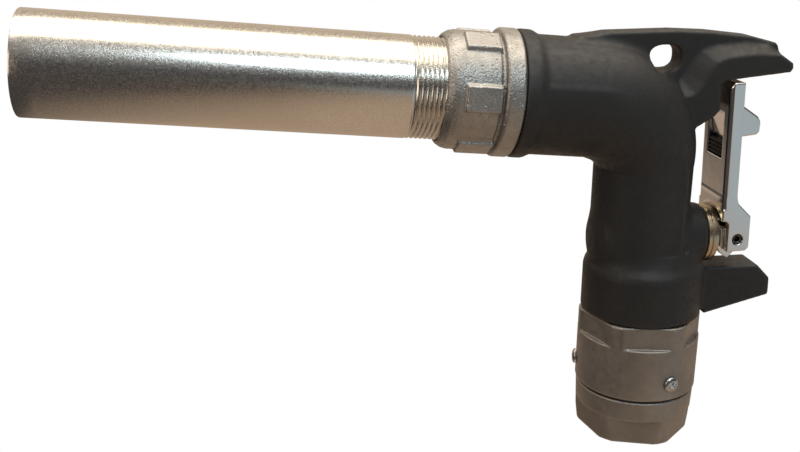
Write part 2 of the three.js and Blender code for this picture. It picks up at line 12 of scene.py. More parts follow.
import bpy
import numpy as np
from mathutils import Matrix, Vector

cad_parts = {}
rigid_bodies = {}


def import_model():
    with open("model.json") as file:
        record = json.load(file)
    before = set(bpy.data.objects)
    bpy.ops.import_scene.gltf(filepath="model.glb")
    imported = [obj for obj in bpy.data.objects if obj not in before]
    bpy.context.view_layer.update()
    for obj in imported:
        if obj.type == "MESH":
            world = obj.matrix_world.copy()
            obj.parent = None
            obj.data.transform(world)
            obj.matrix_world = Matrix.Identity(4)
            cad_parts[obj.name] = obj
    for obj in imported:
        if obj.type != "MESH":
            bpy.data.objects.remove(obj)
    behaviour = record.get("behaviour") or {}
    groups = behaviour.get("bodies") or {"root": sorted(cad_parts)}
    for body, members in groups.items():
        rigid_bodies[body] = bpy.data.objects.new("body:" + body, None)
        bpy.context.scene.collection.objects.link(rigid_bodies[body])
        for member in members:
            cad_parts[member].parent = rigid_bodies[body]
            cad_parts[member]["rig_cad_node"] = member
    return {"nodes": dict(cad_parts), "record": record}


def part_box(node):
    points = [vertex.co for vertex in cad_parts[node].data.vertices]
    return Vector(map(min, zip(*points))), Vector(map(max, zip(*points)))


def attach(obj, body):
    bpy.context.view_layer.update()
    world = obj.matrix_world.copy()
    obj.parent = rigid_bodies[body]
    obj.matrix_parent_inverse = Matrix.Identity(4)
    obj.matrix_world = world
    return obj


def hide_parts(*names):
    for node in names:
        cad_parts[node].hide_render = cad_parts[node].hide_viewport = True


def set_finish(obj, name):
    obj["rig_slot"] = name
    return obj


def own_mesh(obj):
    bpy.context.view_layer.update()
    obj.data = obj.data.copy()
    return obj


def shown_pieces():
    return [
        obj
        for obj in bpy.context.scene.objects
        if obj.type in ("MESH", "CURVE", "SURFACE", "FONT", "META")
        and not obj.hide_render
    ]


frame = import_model()
nodes = frame["nodes"]
bpy.context.view_layer.update()

# %% [markdown]
# ## Driving sizes
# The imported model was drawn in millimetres, so the sizes below are too, and only the finished
# meshes are scaled to metres. Stations count along the spout from where its axis crosses the
# inlet's.

# %% Sizes in millimetres
MM = 0.001
spout_rise = math.radians(5)
spout_height = 173.8
seam = 73.2
handle_radius = 24.4
handle_shift = -4
barrel_radius = 28.6
bend_radius = 34
bend_x = handle_shift - bend_radius
bend_z = spout_height - bend_x * math.tan(spout_rise) - bend_radius / math.cos(spout_rise)
bend_end = math.pi / 2 - spout_rise
print("elbow centre, mm:", bend_x, round(bend_z, 2))

# %% [markdown]
# ## Fields
# A field gives each point its distance from a surface, negative inside the metal. Welding two
# fields with a smooth minimum leaves a fillet between them, and carving with a smooth maximum
# leaves a rounded lip. Both are how a pattern maker blends wood and wax before it is moulded.


# %% Weld, carve and clip
def weld(a, b, fillet):
    share = np.clip(0.5 + 0.5 * (b - a) / fillet, 0, 1)
    return b + (a - b) * share - fillet * share * (1 - share)


def clip(a, b, lip=0.9):
    return -weld(-a, -b, lip)


def carve(a, tool, lip=0.9):
    return -weld(-a, tool, lip)


# %% [markdown]
# A drawn outline becomes a small table of distances, blurred a little so its corners are round,
# and read back between its points. Turned shapes read it with radius and height, and plates read
# it with X and Z.


# %% Outlines with softened corners
class Outline:
    cell = 0.2
    margin = 14
    behind_axis = -30

    def __init__(self, points, soften):
        corners = np.array(points, float)
        self.low = corners.min(0) - self.margin
        high = corners.max(0) + self.margin
        u = np.arange(self.low[0], high[0], self.cell)[:, None]
        v = np.arange(self.low[1], high[1], self.cell)[None, :]
        nearest = np.full((u.size, v.size), 1e9)
        inside = np.zeros(nearest.shape, bool)
        for (u0, v0), (u1, v1) in zip(corners, np.roll(corners, -1, 0)):
            du, dv = u1 - u0, v1 - v0
            along = np.clip(((u - u0) * du + (v - v0) * dv) / (du * du + dv * dv), 0, 1)
            gap = (u - u0 - along * du) ** 2 + (v - v0 - along * dv) ** 2
            nearest = np.minimum(nearest, gap)
            if dv:
                inside ^= ((v0 > v) != (v1 > v)) & (u < u0 + (v - v0) / dv * du)
        self.table = np.where(inside, -1, 1) * np.sqrt(nearest)
        self.blur(soften)
        print("outline with", len(corners), "corners, table", self.table.shape)

    def blur(self, soften):
        reach = int(round(2 * soften / self.cell))
        offsets = np.arange(-reach, reach + 1) * self.cell
        weights = np.exp(-0.5 * (offsets / (0.5 * soften)) ** 2)
        weights /= weights.sum()
        for axis in (0, 1):
            widths = [(reach, reach) if a == axis else (0, 0) for a in (0, 1)]
            padded = np.pad(self.table, widths, "edge")
            count = self.table.shape[axis]
            parts = [w * padded.take(range(i, i + count), axis) for i, w in enumerate(weights)]
            self.table = sum(parts)

    def __call__(self, u, v):
        a = np.clip((u - self.low[0]) / self.cell, 0, self.table.shape[0] - 1.001)
        b = np.clip((v - self.low[1]) / self.cell, 0, self.table.shape[1] - 1.001)
        i, j = a.astype(int), b.astype(int)
        p, q = a - i, b - j
        low = self.table[i, j] * (1 - q) + self.table[i, j + 1] * q
        high = self.table[i + 1, j] * (1 - q) + self.table[i + 1, j + 1] * q
        return low * (1 - p) + high * p


def lathe_outline(points, soften):
    return Outline([(r if r > 0 else Outline.behind_axis, h) for r, h in points], soften)


def plate(outline, x, y, z, half, round_over=1.2):
    return clip(outline(x, z), np.abs(y) - half, round_over)


# %% [markdown]
# ## Skinning a field
# The skin has one corner in each grid cell that the surface crosses, and one quad for each grid
# edge that it crosses. A few rounds of averaging even out the quads, and after each the corners
# go back onto the exact surface, so cylinders come out round and flats come out flat.


# %% From field to mesh
def crossing_cells(value):
    inside = value < 0
    corner = [slice(None, -1), slice(1, None)]
    count = sum(inside[a, b, c].astype(np.int8) for a in corner for b in corner for c in corner)
    return np.argwhere((count > 0) & (count < 8))


def cell_corners(value, cells):
    total = np.zeros(cells.shape)
    hits = np.zeros(len(cells))
    for axis in range(3):
        for side in range(4):
            start = np.zeros(3, int)
            start[(axis + 1) % 3], start[(axis + 2) % 3] = side & 1, side >> 1
            step = np.eye(3, dtype=int)[axis]
            near, far = value[tuple((cells + start).T)], value[tuple((cells + start + step).T)]
            crossed = (near < 0) != (far < 0)
            along = np.where(crossed, near / np.where(crossed, near - far, 1), 0)
            total += crossed[:, None] * (cells + start + along[:, None] * step)
            hits += crossed
    return total / hits[:, None]


def cell_quads(value, cells):
    number = np.full(value.shape, -1)
    number[tuple(cells.T)] = np.arange(len(cells))
    quads = []
    for axis in range(3):
        step, right, up = (np.eye(3, dtype=int)[(axis + i) % 3] for i in range(3))
        size = np.array(value.shape) - step
        near = value[: size[0], : size[1], : size[2]]
        far = value[step[0]:, step[1]:, step[2]:]
        edges = np.argwhere((near < 0) != (far < 0))
        outward = near[tuple(edges.T)] < 0
        quad = np.stack([number[tuple((edges - a).T)] for a in (right + up, up, 0 * up, right)], 1)
        quads.append(np.where(outward[:, None], quad, quad[:, ::-1]))
    return np.concatenate(quads)


def settle(field, points, reach):
    probe = 0.02
    x, y, z = points.T
    slope = np.stack([
        field(x + probe, y, z) - field(x - probe, y, z),
        field(x, y + probe, z) - field(x, y - probe, z),
        field(x, y, z + probe) - field(x, y, z - probe),
    ], 1) / (2 * probe)
    steep = np.maximum((slope ** 2).sum(1), 0.05)
    move = -(field(x, y, z) / steep)[:, None] * slope
    length = np.linalg.norm(move, axis=1, keepdims=True)
    return points + move * np.minimum(1, reach / np.maximum(length, 1e-9))


def averaged(points, quads):
    pairs = np.concatenate([quads[:, [i, (i + 1) % 4]] for i in range(4)])
    total = np.zeros(points.shape)
    hits = np.bincount(pairs[:, 0], minlength=len(points)).astype(float)
    for axis in range(3):
        total[:, axis] = np.bincount(pairs[:, 0], points[pairs[:, 1], axis], len(points))
    return 0.5 * points + 0.5 * total / hits[:, None]


# %% [markdown]
# ## From points to an object
# Edges sharper than a given angle stay sharp, and the rest is shaded smooth. The skin takes its
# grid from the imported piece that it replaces, so it can't grow past that piece's box.

# %% Build an object from points and faces
def make_piece(name, points, faces, angle=None):
    mesh = bpy.data.meshes.new(name)
    mesh.from_pydata((np.asarray(points) * MM).tolist(), [], [list(map(int, f)) for f in faces])
    mesh.validate()
    mesh.shade_smooth()
    if angle:
        mesh.set_sharp_from_angle(angle=math.radians(angle))
    piece = bpy.data.objects.new(name, mesh)
    bpy.context.scene.collection.objects.link(piece)
    print(name, "has", len(mesh.vertices), "corners and", len(mesh.polygons), "faces")
    return piece


def skin(name, field, node, step, angle=None):
    low, high = (np.array(corner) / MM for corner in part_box(node))
    axes = [np.arange(a - 2.4 * step, b + 2.4 * step, step) for a, b in zip(low, high)]
    grid = np.meshgrid(*axes, indexing="ij", sparse=True)
    value = np.array(np.broadcast_to(field(*grid), [len(a) for a in axes]))
    cells = crossing_cells(value)
    start = np.array([a[0] for a in axes])
    points = start + step * cell_corners(value, cells)
    quads = cell_quads(value, cells)
    rounds = 4
    for _ in range(rounds):
        points = settle(field, averaged(points, quads), 0.6 * step)
    points = np.clip(settle(field, points, 0.3 * step), low, high)
    return make_piece(name, points, quads, angle)


# %% [markdown]
# ## The cast body
# The body is one casting: a handle tube, an elbow, a barrel, a flat-sided rib that follows them
# round the outside, and a horn that guards the lever and takes a hook. The tube, the rib and the
# bore follow one centre line, which is straight, then an arc, then straight again.


# %% Coordinates along the body
def spout_frame(x, y, z):
    rise = z - spout_height
    station = -x * math.cos(spout_rise) + rise * math.sin(spout_rise)
    out = x * math.sin(spout_rise) + rise * math.cos(spout_rise)
    return station, out


def swept(section, x, y, z, bottom, station_end):
    station, barrel_out = spout_frame(x, y, z)
    bend_station = -bend_x * math.cos(spout_rise) + (bend_z - spout_height) * math.sin(spout_rise)
    handle = clip(section(x - handle_shift, y, 0), np.maximum(z - bend_z - 0.01, bottom - z))
    ends = np.maximum(bend_station - 0.01 - station, station - station_end)
    barrel = clip(section(barrel_out, y, 1), ends)
    angle = np.arctan2(z - bend_z, x - bend_x)
    share = np.clip(angle / bend_end, 0, 1)
    bend = section(np.hypot(x - bend_x, z - bend_z) - bend_radius, y, share)
    bend = np.where((angle >= 0) & (angle <= bend_end), bend, 1e3)
    return np.minimum(np.minimum(handle, barrel), bend)


# %% [markdown]
# Cut across, the body is a round tube with a flat-sided rib on the outside of the bend. The tube
# swells as the elbow begins. Each section knows how far round it is, so one serves throughout.

# %% Tube and rib sections
handle_bore = 19.8
pipe_bore = 20.45


def tube_section(out, side, share):
    swell = np.sin(np.pi / 2 * np.minimum(1, 1.3 * share))
    return np.hypot(out, side) - handle_radius - (barrel_radius - handle_radius) * swell


def rib_section(out, side, share):
    half = 22.6 + 4.9 * share
    reach = 15.6 - 6.1 * np.minimum(1, 4 * share)
    corner = 2.6
    u = np.abs(out - (reach - 8) / 2) - (reach + 8) / 2 + corner
    v = np.abs(side) - half + corner
    return np.hypot(np.maximum(u, 0), np.maximum(v, 0)) + np.minimum(np.maximum(u, v), 0) - corner


def bore_section(out, side, share):
    return np.hypot(out, side) - handle_bore - (pipe_bore - handle_bore) * share


# %% [markdown]
# The horn's crest is a thin web, and the saddle under it is thicker and has a broad bevel that
# catches the light. The bevel comes from mixing two outlines, the saddle's face and its root.

# %% Outlines of the plates
crest = Outline([
    (-44, 199), (-42, 206.6), (-28, 208.8), (4.4, 209.2), (23, 208.2), (43.5, 205.7), (56.4, 202.3),
    (57.6, 200.6), (59, 193), (34, 189), (24, 184), (20, 174), (0, 168),
], 0.9)
saddle_face = [
    (-18, 160), (8, 152), (13.5, 161.5), (25.3, 168.6), (27.8, 171.6), (27, 183.6), (29, 185.6),
    (37.3, 186.6), (62, 189), (63.2, 190.6), (62.8, 193.4), (56, 197.4), (43, 197.8),
    (29, 196.4), (24, 194.4), (21.4, 190.2), (18.8, 184.6), (14.5, 179.2), (-3, 176),
]
bevel = [(0, 0)] * 8 + [(-2, 1), (-3, 1.5), (-4, 3.5), (-4, 4.4), (-3, 5), (-4, 5), (-5, 5), (-6, 5),
                        (-7, 5), (-6, 6), (-2, 6)]
saddle_root = [(x + dx, z + dz) for (x, z), (dx, dz) in zip(saddle_face, bevel)]
face_outline = Outline(saddle_face, 0.6)
root_outline = Outline(saddle_root, 0.6)
lug = Outline([
    (0, 66), (31.5, 66), (31.5, 63.4), (66.2, 72.4), (66, 81.4), (58.6, 89), (20, 89), (10, 96),
    (0, 96),
], 0.8)


def saddle(x, y, z):
    share = np.clip((np.abs(y) - 6.8) / 6.2, 0, 1)
    outline = root_outline(x, z) * (1 - share) + face_outline(x, z) * share
    return clip(outline, np.abs(y) - 13, 0.7)


# %% [markdown]
# Four parts of the casting are round: the socket over the swivel, the bead at the collar's seam,
# the boss round the gland, and the bulge in front of the seat. Each is half an outline, read with
# the distance from its own axis.

# %% Outlines of the turned parts of the body
socket = lathe_outline([
    (0, 65.8), (29.2, 65.8), (30.3, 66.7), (30.3, 89), (29.6, 91.6), (27.2, 95), (24.4, 101), (0, 101),
], 0.7)
bead = lathe_outline([
    (0, seam - 14), (28.6, seam - 9.4), (30, seam - 7.4), (30.5, seam - 6), (30.5, seam - 1),
    (29.8, seam), (0, seam),
], 0.8)
boss = lathe_outline([(0, -10), (17, -10), (17, 16), (15.3, 26.8), (14.7, 27.6), (0, 27.6)], 0.8)
bulge = lathe_outline([(0, -28.7), (8, -28.3), (13, -25), (15, -20), (15.5, -8), (0, -8)], 1.2)


# %% [markdown]
# The casting is bored for the pieces inside it, with a small gap round each, so that no two
# pieces share a surface.

# %% Sizes of the hollows
swivel_radius = 31
swivel_top = 65.5
valve_height = 105.5
fit_gap = 0.3
inlet_bore = 20
swivel_nipple = 24.2
collar_nipple = 24.9
seat_wall_front = -15
seat_wall_rear = -10
seat_hole = 10.6
gland_hole = 13.1
boss_end = 27.6
nut_end = 33.5
nut_radius = 14.7
print("swivel bore through the body, mm:", 2 * (swivel_nipple + fit_gap))


# %% [markdown]
# The outside is welded together first, each weld with the fillet that a casting shows there. The
# holes are carved last, and hollows that no one sees are cut with plain sharp edges.

# %% The body's field
def body_outside(x, y, z):
    station, out = spout_frame(x, y, z)
    from_stem = np.hypot(y, z - valve_height)
    made = swept(tube_section, x, y, z, swivel_top + 8, seam - 3)
    made = weld(made, swept(rib_section, x, y, z, swivel_top + 20, seam - 10), 1.6)
    made = weld(made, socket(np.hypot(x, y), z), 2.0)
    made = weld(made, bead(np.hypot(out, y), station), 1.5)
    made = weld(made, boss(from_stem, x), 3.0)
    made = weld(made, bulge(from_stem, x), 4.0)
    made = weld(made, plate(crest, x, y, z, 6.5, 1.6), 4.0)
    made = weld(made, saddle(x, y, z), 1.4)
    return weld(made, plate(lug, x, y, z, 9, 1.4), 3.0)


def pin_shape(across, along, radius, start, end):
    return np.maximum(across - radius, np.maximum(start - along, along - end))


def hanging_hole(x, z):
    half_width, half_height, squareness = 8, 6.2, 2.6
    across, up = np.abs(x - 0.6) / half_width, np.abs(z - 196.2) / half_height
    round_the_hole = (across ** squareness + up ** squareness + 1e-9) ** (1 / squareness)
    return half_height * (round_the_hole - 1)


def body_field(x, y, z):
    station, out = spout_frame(x, y, z)
    from_stem = np.hypot(y, z - valve_height)
    in_handle = np.hypot(x - handle_shift, y)
    made = body_outside(x, y, z)
    made = carve(made, hanging_hole(x, z), 1.2)
    swivel_room = pin_shape(np.hypot(x, y), z, swivel_radius + 0.5, 40, swivel_top + fit_gap)
    made = carve(made, swivel_room, 0.5)
    made = carve(made, pin_shape(from_stem, x, nut_radius + 0.8, boss_end, nut_end), 0.5)
    hollows = [
        pin_shape(np.hypot(x, y), z, swivel_nipple + fit_gap, 60, 84.5),
        pin_shape(np.hypot(x, y), z, inlet_bore, 80, 87),
        np.maximum(pin_shape(in_handle, z, handle_bore, 80, 122), seat_wall_rear - x),
        np.maximum(pin_shape(in_handle, z, handle_bore, 91, 130), x - seat_wall_front),
        swept(bore_section, x, y, z, 127, seam + 5),
        pin_shape(np.hypot(out, y), station, collar_nipple + fit_gap, seam - 16.3, seam + 5),
        pin_shape(from_stem, x, seat_hole, seat_wall_front - 3, seat_wall_rear + 3),
        pin_shape(from_stem, x, gland_hole, 8, 33),
    ]
    for hollow in hollows:
        made = np.maximum(made, -hollow)
    return made


body = skin("body_casting", body_field, "nozzle_body", 0.94)
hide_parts("nozzle_body")
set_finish(body, "black_casting")
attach(body, "nozzle")

# %% [markdown]
# ## The collar
# The collar is a plated casting that joins the pipe to the body. Six lugs let a wrench grip
# it, and a groove sets its flange apart. It is one turned outline with the lugs welded on.

# %% Collar
pipe_radius = 24.13
collar_front = 109
collar_body_radius = 28
ring_back = seam + 9.2
lug_radius, lug_width, lug_turn = 29.5, 11.4, math.radians(32.5)
collar_outline = lathe_outline([
    (pipe_bore, seam - 16), (collar_nipple, seam - 16), (collar_nipple, seam - 13.7),
    (collar_nipple - 2.2, seam - 13.7), (collar_nipple - 2.2, seam - 10.3),
    (collar_nipple, seam - 10.3), (collar_nipple, seam + fit_gap), (29.6, seam + fit_gap),
    (30.5, seam + 1.4), (30.5, ring_back - 1.2), (29.7, ring_back), (27.3, ring_back + 0.4),
    (27.3, ring_back + 1.8), (collar_body_radius, ring_back + 2.6),
    (collar_body_radius, collar_front - 5.5), (collar_body_radius - 0.6, collar_front - 3),
    (collar_body_radius - 2, collar_front - 0.8), (collar_body_radius - 3.1, collar_front),
    (pipe_radius + fit_gap, collar_front), (pipe_radius + fit_gap, seam + 13),
    (pipe_bore, seam + 13),
], 0.35)


def collar_field(x, y, z):
    station, out = spout_frame(x, y, z)
    radius = np.hypot(out, y)
    turn = np.arctan2(y, out) - lug_turn
    sector = math.radians(60)
    turn = turn - sector * np.round(turn / sector)
    high = radius * np.cos(turn)
    above_top = high - lug_radius
    wide = np.abs(radius * np.sin(turn)) - lug_width / 2
    length = np.maximum(ring_back + 2.0 - station, station - ring_back - 17.8)
    lugs = clip(above_top, wide + 0.35 * above_top, 0.5)
    lugs = clip(lugs, length + 0.3 * above_top, 0.5)
    lugs = np.maximum(lugs, 26 - high)
    return weld(collar_outline(radius, station), lugs, 0.7)


collar = skin("collar_casting", collar_field, "spout_collar", 0.55)
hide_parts("spout_collar")
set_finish(collar, "plated_casting")
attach(collar, "nozzle")

# %% [markdown]
# ## The swivel
# The swivel ring and the hexagonal inlet are bare castings, turned where they seal and run. They
# share the turned outline idea. The wrench flats repeat every sixth of a turn, so one distance
# measured in a single sector cuts all six.


# %% Sectors round the inlet's axis
race_height = 35.5
ball_circle = 24.2
race_radius = 2.78
first_plug = 13.9


def sector_frame(x, y, first_turn, count):
    radius = np.hypot(x, y)
    turn = np.arctan2(x, -y) - math.radians(first_turn)
    sector = 2 * math.pi / count
    turn = turn - sector * np.round(turn / sector)
    return radius * np.cos(turn), radius * np.sin(turn)


def race(x, y, z):
    return np.hypot(np.hypot(x, y) - ball_circle, z - race_height) - race_radius


# %% Swivel ring
joint_height = 25.5
race_wall = ball_circle + 0.25
swivel_apothem, swivel_turn = 28.3, -10.5
plug_hole, plug_depth = 2.73, 23.7
swivel_outline = lathe_outline([
    (race_wall, joint_height + 0.7), (swivel_radius - 0.5, joint_height + 0.7),
    (swivel_radius, joint_height + 1.3), (swivel_radius, swivel_top - 0.6),
    (swivel_radius - 0.6, swivel_top), (swivel_nipple, swivel_top),
    (swivel_nipple, swivel_top + 15), (swivel_nipple - 1, swivel_top + 16),
    (inlet_bore, swivel_top + 16), (inlet_bore, 51.6), (race_wall, 51.6),
], 0.3)


def swivel_field(x, y, z):
    high, _ = sector_frame(x, y, swivel_turn, 6)
    outward, across = sector_frame(x, y, first_plug, 3)
    flats = np.maximum(swivel_apothem - high, swivel_top - 11.6 - z)
    from_plug = np.hypot(across, z - race_height)
    plug_holes = np.maximum(from_plug - plug_hole, plug_depth - outward)
    made = carve(swivel_outline(np.hypot(x, y), z), flats, 0.45)
    made = carve(made, plug_holes, 0.3)
    return np.maximum(made, -race(x, y, z))


swivel = skin("swivel_casting", swivel_field, "swivel_body", 0.6)
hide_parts("swivel_body")
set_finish(swivel, "bare_casting")
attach(swivel, "nozzle")

# %% [markdown]
# ## The inlet
# A wrench holds the inlet while the hose is screwed in. Its hexagon is cut from a slightly flared
# round, so each flat ends in a curved edge. It rides its own joint, so it turns with the hose.

# %% Hexagonal inlet
hose_thread = 23.9
tail_radius = 23.85
hex_apothem, hex_top, hex_turn = 26.4, 14, -17.5
inlet_outline = lathe_outline([
    (inlet_bore, 19), (hose_thread, 17.5), (hose_thread, 0.6), (hose_thread + 0.6, 0), (28.3, 0),
    (28.7, 0.5), (29.7, 8), (30.4, joint_height - 1.2), (30, joint_height - 0.7),
    (tail_radius, joint_height - 0.7), (tail_radius, 42.1), (tail_radius - 2.1, 42.1),
    (tail_radius - 2.1, 45.9), (tail_radius, 45.9), (tail_radius, 50.2), (tail_radius - 0.8, 51),
    (inlet_bore, 51),
], 0.3)


def inlet_field(x, y, z):
    high, _ = sector_frame(x, y, hex_turn, 6)
    flats = np.maximum(hex_apothem - high, z - hex_top)
    made = carve(inlet_outline(np.hypot(x, y), z), flats, 0.5)
    return np.maximum(made, -race(x, y, z))


inlet = skin("inlet_casting", inlet_field, "inlet_adapter", 0.6)
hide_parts("inlet_adapter")
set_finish(inlet, "bare_casting")
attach(inlet, "inlet")

# %% [markdown]
# ## The lever
# The lever is a chromed forging: a flat bar with a thumb tab behind it, and a forked block that
# takes the pin. Its outlines are drawn round the pin, and the closed lever leans two degrees.

# %% Lever outlines
pin_x = 43
lean = math.radians(2)
lever_half = 14.3
bar = Outline([(-8.6, 9.8), (-1.4, 9.8), (-1.4, 79.5), (-6.6, 79.5), (-8.6, 77.3)], 0.5)
block = Outline([(-5.4, -6.4), (4.6, -6.4), (6.3, -4.6), (6.3, 11.6), (-1.4, 19.6), (-3.4, 24),
                 (-8, 22), (-5.4, 17)], 0.5)
tab = Outline([(-2.4, 49.8), (11.2, 50.8), (12.6, 52.2), (12.9, 57), (11.4, 60), (-2.4, 70)], 0.6)
cam_base, cam_swing, cam_lift = 8.0, math.radians(70), 3.5
cam_points = [(3.4, -6), (4, 4), (-cam_base, 4)]
for turn in np.linspace(0, cam_swing, 13):
    rate = cam_lift / cam_swing
    reach = cam_base + rate * turn
    cam_points.append((-reach * math.cos(turn) + rate * math.sin(turn),
                       -reach * math.sin(turn) - rate * math.cos(turn)))
cam = Outline(cam_points, 0.3)


# %% [markdown]
# The bar, the block, the tab and the cam are plates of different widths, welded together. The
# thumb pad's pocket has a sloping floor. The cam's flank is an involute, which moves the stem evenly.

# %% Lever
def lever_field(x, y, z):
    across, up = x - pin_x, z - valve_height
    u = across * math.cos(lean) + up * math.sin(lean)
    v = up * math.cos(lean) - across * math.sin(lean)
    made = plate(bar, u, y, v, lever_half, 0.7)
    made = weld(made, plate(block, u, y, v, lever_half, 0.7), 1.6)
    made = weld(made, plate(tab, u, y, v, 4.2, 0.9), 1.4)
    made = weld(made, plate(cam, across, y, up, 8.5, 0.5), 0.5)
    chamfer = np.abs(u + 10.2) + np.abs(np.abs(y) - lever_half - 0.4) - 3.39
    made = carve(made, np.maximum(chamfer * 0.7, 16 - v), 0.5)
    floor = u + 5.6 + 0.214 * np.maximum(v - 49.6, 0)
    pocket = np.maximum(np.maximum(41 - v, v - 64), np.maximum(np.abs(y) - 8, floor))
    made = carve(made, pocket, 0.4)
    slot = np.maximum(np.maximum(across, up) - 5.4, np.abs(y) - 4.4)
    made = carve(made, slot, 0.4)
    made = carve(made, pin_shape(np.hypot(y, up), x, nut_radius + 1.2, 0, nut_end + 0.6), 0.4)
    return carve(made, np.hypot(across, up) - 2.8, 0.3)


lever = skin("lever_forging", lever_field, "lever", 0.42)
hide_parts("lever")
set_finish(lever, "chrome")
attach(lever, "lever")

# %% [markdown]
# ## Turned pieces
# The pipe, the gland nut, the screws and the pin come off a lathe, so they are profiles spun round
# an axis. A ring's radius may change as it goes round, which is all that a helical thread or a
# hexagonal socket needs.


# %% Spin a profile
def spun(name, profile, sides, place, closed=False, angle=32):
    turns = np.arange(sides) * 2 * math.pi / sides
    rings = []
    for radius, height in profile:
        radii = radius(turns) if callable(radius) else radius
        rings.append(np.stack([radii * np.cos(turns), radii * np.sin(turns), 0 * turns + height], 1))
    last = len(rings) - 1
    faces = []
    for i in range(last + closed):
        a, b = i * sides, (i + 1) % (last + 1) * sides
        faces += [(a + j, a + (j + 1) % sides, b + (j + 1) % sides, b + j) for j in range(sides)]
    if not closed:
        faces += [range(sides), range(last * sides, (last + 1) * sides)]
    piece = make_piece(name, place(np.concatenate(rings)), faces, angle)
    bpy.context.view_layer.objects.active = piece
    bpy.ops.object.mode_set(mode="EDIT")
    bpy.ops.mesh.select_all(action="SELECT")
    bpy.ops.mesh.normals_make_consistent(inside=False)
    bpy.ops.object.mode_set(mode="OBJECT")
    return piece


def along_spout(points):
    out, side, station = points.T
    c, s = math.cos(spout_rise), math.sin(spout_rise)
    return np.stack([out * s - station * c, side, spout_height + out * c + station * s], 1)


def along_stem(points):
    up, side, x = points.T
    return np.stack([x, side, valve_height + up], 1)


def hexagon(apothem):
    sixth = math.pi / 3
    return lambda turns: apothem / np.cos((turns + sixth / 2) % sixth - sixth / 2)


# %% [markdown]
# The pipe's thread is a true helix. Each ring of the mesh asks how far round the thread has got,
# and the last turn runs out into the plain pipe where the die stopped.


# %% Spout pipe
thread_pitch = 2.209
thread_depth = 1.1
thread_start = 123.5
spout_end = 297


def thread_ring(station):
    def radii(turns):
        phase = (station / thread_pitch + turns / (2 * math.pi)) % 1
        wave = np.clip(1.3 * np.abs(2 * phase - 1) - 0.15, 0, 1)
        fade = np.clip((thread_start + 0.8 - station) / thread_pitch, 0, 1)
        return pipe_radius - 0.1 * fade - thread_depth * fade * (1 - wave)
    return radii


thread_from = seam + 14
thread_stations = np.arange(thread_from + 0.01, thread_start + 1.2, thread_pitch / 9)
pipe_profile = [(pipe_bore, thread_from), (pipe_radius - thread_depth, thread_from)]
pipe_profile += [(thread_ring(station), station) for station in thread_stations]
pipe_profile += [(pipe_radius, station)
                 for station in np.linspace(thread_start + 1.4, spout_end - 0.8, 20)]
pipe_profile += [(pipe_radius - 0.25, spout_end - 0.2), (pipe_radius - 0.8, spout_end),
                 (pipe_bore + 0.6, spout_end), (pipe_bore, spout_end - 0.6)]
pipe = spun("spout_pipe", pipe_profile, 128, along_spout, closed=True)
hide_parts("spout_tube")
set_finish(pipe, "galvanised_pipe")
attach(pipe, "nozzle")

# %% [markdown]
# The brass gland nut squeezes the packing round the stem. Only its head shows, which is turned
# with one groove, so a plain profile is enough.

# %% Gland nut, with its turned grooves
nut_profile = [
    (8.2, 14), (12.8, 14), (12.8, 27.9), (14.2, 27.9), (14.7, 28.3), (14.7, 29.5), (14.35, 29.8),
    (14.35, 30.2), (14.7, 30.5), (14.7, 32.5), (14.5, 33.1), (14.0, 33.45), (13.4, 33.5),
    (4.3, 33.5), (4.3, 26.2), (8.2, 26.2),
]
nut = spun("gland_nut_turned", nut_profile, 96, along_stem, closed=True)
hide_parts("gland_nut")
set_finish(nut, "brass")
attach(nut, "nozzle")

# %% [markdown]
# Three plugs close the holes that the bearing's balls go in by. The profile makes a button head,
# and two of its rings are hexagons, which sinks the key's socket.

# %% Ball plugs, button-headed with a hexagonal key
head = swivel_radius + 0.35
plug_profile = [
    (0.3, 27.1), (2.1, 27.1), (2.38, 27.4), (2.38, head), (3.9, head), (4, head + 0.12),
    (3.97, head + 0.5), (3.75, head + 0.85), (3.3, head + 1.2), (2.7, head + 1.5), (2, head + 1.67),
    (1.6, head + 1.7), (hexagon(1.35), head + 1.55), (hexagon(1.35), head + 0.2), (0.2, head),
]
for i in range(3):
    turn = math.radians(first_plug + 120 * i)

    def place(points, turn=turn):
        side, up, out = points.T
        return np.stack([out * math.sin(turn) + side * math.cos(turn),
                         side * math.sin(turn) - out * math.cos(turn), race_height + up], 1)

    plug = spun(f"ball_plug_{i + 1}", plug_profile, 36, place)
    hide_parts(f"plug_screw_{i + 1}")
    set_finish(plug, "steel")
    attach(plug, "nozzle")

# %% [markdown]
# The pin goes across the lever's block, and has a key's socket made as the plugs' are.

# %% Pivot pin
pin_half = lever_half - 0.7
pin_profile = [
    (0.3, -pin_half), (2.2, -pin_half), (2.5, -pin_half + 0.3), (2.5, pin_half - 0.3),
    (2.3, pin_half), (1.8, pin_half), (hexagon(1.5), pin_half - 0.2), (hexagon(1.5), pin_half - 2.4),
    (0.2, pin_half - 2.6),
]
pin = spun("lever_pin", pin_profile, 36,
           lambda p: np.stack([pin_x + p[:, 0], -p[:, 2], valve_height + p[:, 1]], 1))
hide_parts("pivot_pin")
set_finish(pin, "steel")
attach(pin, "lever")
